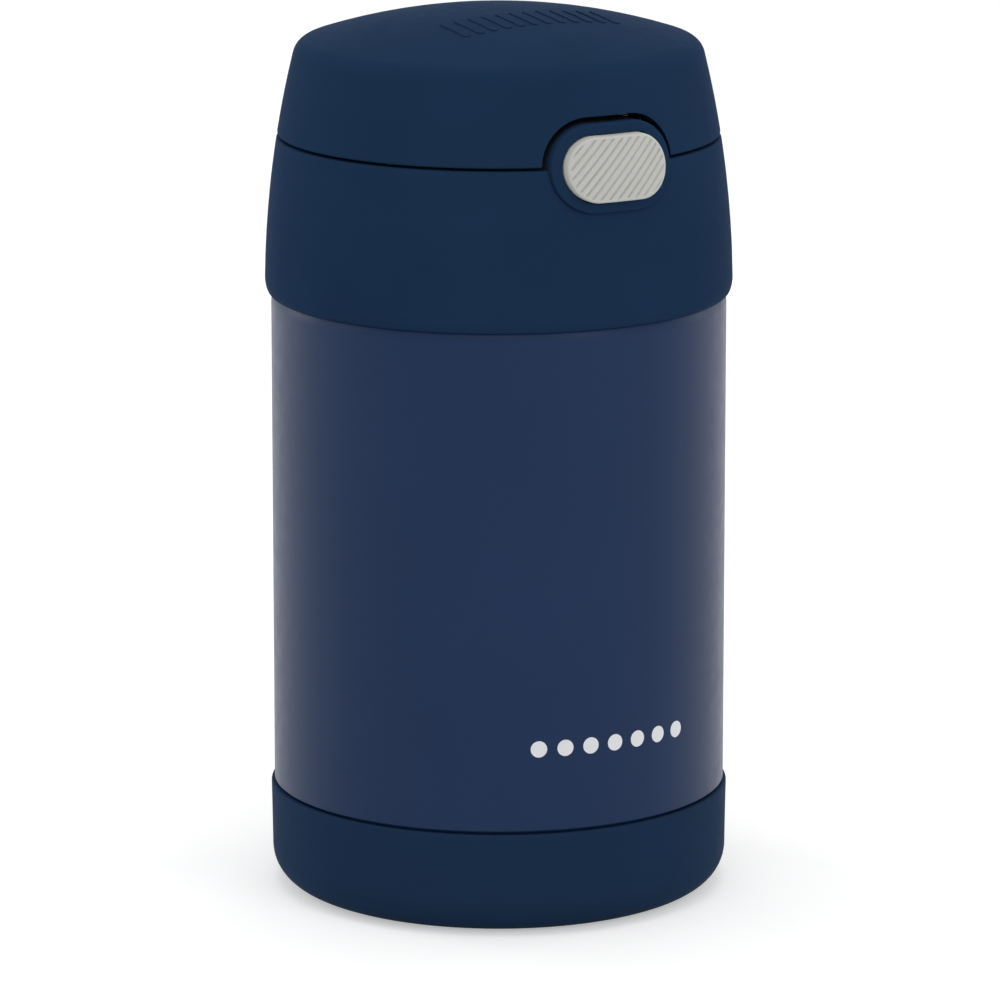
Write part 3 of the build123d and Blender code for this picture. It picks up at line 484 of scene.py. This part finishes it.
def turn_ring(name, profile, steps):
    """Turn a closed section, given as radius and height, into a ring."""
    radius, height = profile[0]
    ring = begin(
        name, bpy.ops.mesh.primitive_circle_add, vertices=steps, radius=radius * MM,
        location=(0, 0, height * MM),
    )
    edit(ring)
    for next_radius, next_height in profile[1:] + profile[:1]:
        bpy.ops.mesh.extrude_region_move(
            TRANSFORM_OT_translate={"value": (0, 0, (next_height - height) * MM)}
        )
        stretch = next_radius / radius
        bpy.ops.transform.resize(
            value=(stretch, stretch, 1), center_override=(0, 0, next_height * MM)
        )
        radius, height = next_radius, next_height
    return close_up(done(ring))


def lid_skin(z, proud=0.0):
    """Radius of the lid's upright wall at a height, or of a surface that stands proud of it."""
    return LID_RADIUS - WALL_ARC + math.sqrt((WALL_ARC + proud) ** 2 - (z - LID_WIDEST_Z) ** 2)


def crown_height(radius, proud=0.0):
    """Height of the crown at a distance from the axis, or of a surface that stands proud of it."""
    return CROWN_TOP - CROWN_ARC + math.sqrt((CROWN_ARC + proud) ** 2 - radius**2)


# ------------------------------------------------------------------ button
def button_block(name, margin, back, front):
    """A block of the button's outline, this much larger all round."""
    width, height = BUTTON_WIDTH + 2 * margin, BUTTON_HEIGHT + 2 * margin
    block = begin(
        name, bpy.ops.mesh.primitive_cube_add, size=1.0,
        location=(0, -(back + front) / 2 * MM, BUTTON_Z * MM),
        scale=(width * MM, (front - back) * MM, height * MM),
    )
    edit(block, lambda a, b: abs(a.x - b.x) < NEAR and abs(a.z - b.z) < NEAR, "EDGE")
    bpy.ops.mesh.bevel(
        offset=(height / 2 - CORNER_GAP) * MM, segments=CORNER_SEGMENTS, affect="EDGES",
    )
    return close_up(done(block))


def from_rim(x, z):
    """How far inside the button's outline a point of its face lies."""
    straight = (BUTTON_WIDTH - BUTTON_HEIGHT) / 2
    return BUTTON_HEIGHT / 2 - math.hypot(max(0.0, abs(x) - straight), z - BUTTON_Z)


def cut_face(front):
    """A finely gridded slab, its grid turned to run with the ribs, cut to the button's outline."""
    button = begin(
        "ribbed_button", bpy.ops.mesh.primitive_grid_add, x_subdivisions=GRID_COLUMNS,
        y_subdivisions=GRID_ROWS, size=GRID_SIDE * MM,
        location=(0, -front * MM, BUTTON_Z * MM),
        rotation=(math.radians(90), math.radians(45), 0),
    )
    modify(button, "SOLIDIFY", thickness=(front - FLANGE_FRONT) * MM, offset=-1.0)
    close_up(button)
    outline = button_block(
        "button_outline", 0, FLANGE_FRONT - OUTLINE_SPARE, front + OUTLINE_SPARE,
    )
    fuse(button, outline, "INTERSECT")
    return button


def lay_bands(button):
    """Run the button's map across its slanted ribs, one repeat of the bands to a rib."""
    mesh = button.data
    bands = mesh.uv_layers[0]
    for corner in mesh.loops:
        point = mesh.vertices[corner.vertex_index].co / MM
        across = (point.z - BUTTON_Z - point.x) / math.sqrt(2)
        along_map = 0.5 + BAND_REPEAT * (across / RIB_PITCH + RIB_SHIFT)
        bands.data[corner.index].uv = (along_map, 0.5)
    return bands.name


def weigh_face(button, front):
    """Say how much the bow, the ribs and the rounded rim move each point of the face."""
    groups = {name: button.vertex_groups.new(name=name) for name in ("face", "ribs", "rim")}
    for vertex in button.data.vertices:
        x, y, z = vertex.co / MM
        if y > NEAR - front:
            continue
        inside = from_rim(x, z)
        depth = min(1.0, max(0.0, inside / BUTTON_RIM))
        weights = {
            "face": 1.0,
            "ribs": min(1.0, max(0.0, (inside - RIB_MARGIN) / RIB_FADE)),
            "rim": 1 - math.sqrt(1 - (1 - depth) ** 2),
        }
        for name, weight in weights.items():
            groups[name].add([vertex.index], weight, "REPLACE")


def bow_face(button):
    """Bow the face like the lid's wall, a little proud of it."""
    heights = range(DOME_LOW, DOME_HIGH + 1, DOME_STEP)
    wall = [(lid_skin(z, BUTTON_PROUD), z) for z in heights]
    dome = turn_ring(
        "button_dome", wall + [(DOME_BACK, DOME_HIGH), (DOME_BACK, DOME_LOW)], SMOOTH_STEPS,
    )
    modify(
        button, "SHRINKWRAP", target=dome, wrap_method="PROJECT", vertex_group="face",
        use_project_x=False, use_project_y=True, use_project_z=False,
        use_negative_direction=True, use_positive_direction=True,
    )
    bpy.data.objects.remove(dome, do_unlink=True)


def press_ribs(button, band_map):
    """Press soft valleys between the ribs, and round the rim."""
    bands = bpy.data.textures.new("rib_bands", "WOOD")
    bands.wood_type, bands.noise_basis_2 = "BANDS", "SIN"
    bands.contrast, bands.intensity = BAND_CONTRAST, BAND_INTENSITY
    bands.use_clamp = True
    modify(
        button, "DISPLACE", texture=bands, texture_coords="UV", uv_layer=band_map,
        direction="Y", mid_level=1.0, strength=-RIB_DEPTH * MM, vertex_group="ribs",
    )
    modify(
        button, "DISPLACE", direction="Y", mid_level=0.0, strength=BUTTON_RIM * MM,
        vertex_group="rim",
    )
    button.vertex_groups.clear()


def make_button():
    """The ribbed button: its face cut, bowed and ribbed, on the flange that holds it in."""
    front = lid_skin(BUTTON_Z) + FACE_SPARE
    button = cut_face(front)
    band_map = lay_bands(button)
    weigh_face(button, front)
    bow_face(button)
    press_ribs(button, band_map)
    flange = button_block(
        "button_flange", FLANGE_MARGIN, FLANGE_BACK, FLANGE_FRONT + FLANGE_OVERLAP,
    )
    fuse(button, flange)
    close_up(button)
    fit(
        button, button_plastic, "button", "button_plastic", "push_button",
        angle=BUTTON_SMOOTH_ANGLE,
    )


# ------------------------------------------------------------------ threads
def taper_out(ridge, radius, sink, height, turn):
    """Let one end of a thread ridge run on a little and sink into its wall."""
    half_foot = THREAD_FOOT / 2 + NEAR
    edit(ridge, lambda co: abs(co.y) < NEAR and co.x > 0 and abs(co.z - height) < half_foot)
    bpy.ops.mesh.extrude_region_move()
    middle = (0, 0, height * MM)
    bpy.ops.transform.rotate(value=math.radians(turn), orient_axis="Z", center_override=middle)
    share = (radius - sink) / radius
    bpy.ops.transform.resize(value=(share, share, 1), center_override=middle)
    done(ridge)


def make_ridge(name, radius, depth, start, outward):
    """A moulded thread ridge round the jar's axis, rooted in a wall of this radius."""
    side = 1 if outward else -1
    thickness = THREAD_ROOT + depth
    middle = ((radius - side * THREAD_ROOT + side * thickness / 2) * MM, 0, start * MM)
    ridge = begin(
        name, bpy.ops.mesh.primitive_plane_add, size=1.0, location=middle,
        rotation=(math.radians(90), 0, 0),
    )
    edit(ridge)
    bpy.ops.transform.resize(
        value=(thickness * MM, 1, THREAD_FOOT * MM), center_override=middle,
    )
    done(ridge)
    edit(ridge, lambda co: (co.x - radius) * side > 0)
    bpy.ops.transform.resize(
        value=(1, 1, CREST_SHARE), center_override=(radius * MM, 0, start * MM),
    )
    bpy.ops.mesh.bevel(offset=CREST_ROUNDING * MM, segments=CREST_SEGMENTS, affect="VERTICES")
    done(ridge)
    modify(
        ridge, "SCREW", angle=math.radians(360 * THREAD_TURNS), axis="Z",
        screw_offset=THREAD_PITCH * THREAD_TURNS * MM, steps=THREAD_STEPS * THREAD_TURNS,
        render_steps=THREAD_STEPS * THREAD_TURNS, use_merge_vertices=False,
    )
    end = start + THREAD_PITCH * THREAD_TURNS
    taper_out(ridge, radius, side * thickness, start, -THREAD_RUN_OUT)
    taper_out(ridge, radius, side * thickness, end, THREAD_RUN_OUT)
    return close_ends(ridge)


def make_threads():
    """The thread on the jar's neck, and the one inside the lid's skirt that runs on it."""
    neck_thread = make_ridge(
        "neck_thread", NECK_RADIUS, NECK_THREAD_DEPTH, NECK_THREAD_START, True,
    )
    fit(neck_thread, coated_steel, "jar", "coated_steel")
    skirt_thread = make_ridge(
        "skirt_thread", SKIRT_INNER, SKIRT_THREAD_DEPTH, SKIRT_THREAD_START, False,
    )
    fit(skirt_thread, core_plastic, "lid", "core_plastic")


# ------------------------------------------------------------------ springs
def wind_wire(name, x, y, axis, turns, length):
    """Wind round wire into a coil about an axis through the origin, starting at x and y."""
    coil = begin(
        name, bpy.ops.mesh.primitive_circle_add, vertices=WIRE_SIDES,
        radius=SPRING_WIRE / 2 * MM, location=(x * MM, y * MM, 0),
    )
    steps = int(COIL_STEPS * abs(turns))
    modify(
        coil, "SCREW", angle=math.radians(360 * turns), axis=axis, screw_offset=length * MM,
        steps=steps, render_steps=steps, use_merge_vertices=False,
    )
    return coil


def draw_leg(coil, side, lean, reach):
    """Draw one end of the hinge spring's wire out into a straight leg."""
    zone = SPRING_HALF_LENGTH - LEG_ZONE
    edit(coil, lambda co: abs(co.z) < NEAR and side * co.x > zone and co.y < 0)
    bpy.ops.mesh.extrude_region_move(
        TRANSFORM_OT_translate={"value": (0, lean * MM, reach * MM)}
    )
    done(coil)


def make_hinge_spring():
    """A round wire coil round the hinge pin, one leg down to the collar and one up to the cap."""
    coil = wind_wire(
        "hinge_spring_coil", -SPRING_HALF_LENGTH, -SPRING_RADIUS, "X", -SPRING_TURNS,
        2 * SPRING_HALF_LENGTH,
    )
    for side, lean, reach in SPRING_LEGS:
        draw_leg(coil, side, lean, reach)
    close_ends(coil)
    carry(coil, HINGE_Y, HINGE_Z)
    fit(coil, spring_steel, "lid", "spring_steel", "hinge_spring")


def make_button_spring():
    """A round wire coil between the housing's back wall and the latch, pressed shorter by it."""
    back, front = RETURN_BACK - SPRING_WIRE / 2, RETURN_FRONT + SPRING_WIRE / 2
    coil = wind_wire(
        "button_spring_coil", RETURN_RADIUS, back, "Y", RETURN_TURNS, front - back,
    )
    close_ends(coil)
    carry(coil, 0, LATCH_Z)
    fit(coil, spring_steel, "lid", "spring_steel", "button_spring")
    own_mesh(coil)


# ------------------------------------------------------------------ print on the body
def print_dots():
    """A row of plain white dots of ink under the button, wrapped to the wall."""
    step = DOT_PITCH / BODY_RADIUS
    first = -(DOT_COUNT - 1) / 2 * step
    rod = begin(
        "print_dot", bpy.ops.mesh.primitive_cylinder_add, vertices=DOT_SIDES,
        radius=DOT_RADIUS * MM, depth=DOT_ROD * MM, rotation=(math.radians(90), 0, first),
        location=(
            BODY_RADIUS * math.sin(first) * MM, -BODY_RADIUS * math.cos(first) * MM, DOT_Z * MM,
        ),
    )
    row = repeat(
        "printed_dots", rod, DOT_COUNT,
        lambda number: bpy.ops.transform.rotate(
            value=-number * step, orient_axis="Z", center_override=(0, 0, 0),
        ),
    )
    outside, inside = BODY_RADIUS + INK_THICK, BODY_RADIUS - INK_ROOT
    top, bottom = DOT_Z + INK_REACH, DOT_Z - INK_REACH
    ink = turn_ring(
        "ink_layer", [(outside, top), (inside, top), (inside, bottom), (outside, bottom)],
        SMOOTH_STEPS,
    )
    fuse(row, ink, "INTERSECT")
    close_up(row)
    fit(row, white_ink, "jar", None)


# ------------------------------------------------------------------ relief on the crown
def make_crown_bars():
    """A row of low raised bars on the crown, for grip."""
    bar = begin(
        "crown_bar", bpy.ops.mesh.primitive_cube_add, size=1.0,
        location=(-(BAR_COUNT - 1) / 2 * BAR_PITCH * MM, BAR_Y * MM, CROWN_TOP * MM),
        scale=(BAR_WIDTH * MM, BAR_LENGTH * MM, BAR_BLOCK * MM),
    )
    edit(bar, lambda a, b: math.hypot(a.x - b.x, a.y - b.y) < NEAR, "EDGE")
    bpy.ops.mesh.bevel(
        offset=BAR_WIDTH * BAR_END_SHARE * MM, segments=BAR_SEGMENTS, affect="EDGES",
    )
    done(bar)
    row = repeat(
        "crown_bars", bar, BAR_COUNT,
        lambda number: bpy.ops.transform.translate(value=(number * BAR_PITCH * MM, 0, 0)),
    )
    radii = range(SKIN_FIRST, SKIN_LAST + 1, SKIN_STEP)
    above = [(radius, crown_height(radius, BAR_PROUD)) for radius in radii]
    below = [(radius, crown_height(radius, -BAR_PROUD)) for radius in radii]
    skin = turn_ring("crown_skin", above + below[::-1], CROWN_STEPS)
    fuse(row, skin, "INTERSECT")
    close_up(row)
    fit(row, lid_plastic, "cap", "lid_plastic")


make_button()
make_threads()
make_hinge_spring()
make_button_spring()
print_dots()
make_crown_bars()

# ------------------------------------------------------------------ end
view_settings = bpy.context.scene.view_settings
view_settings.view_transform = "Standard"
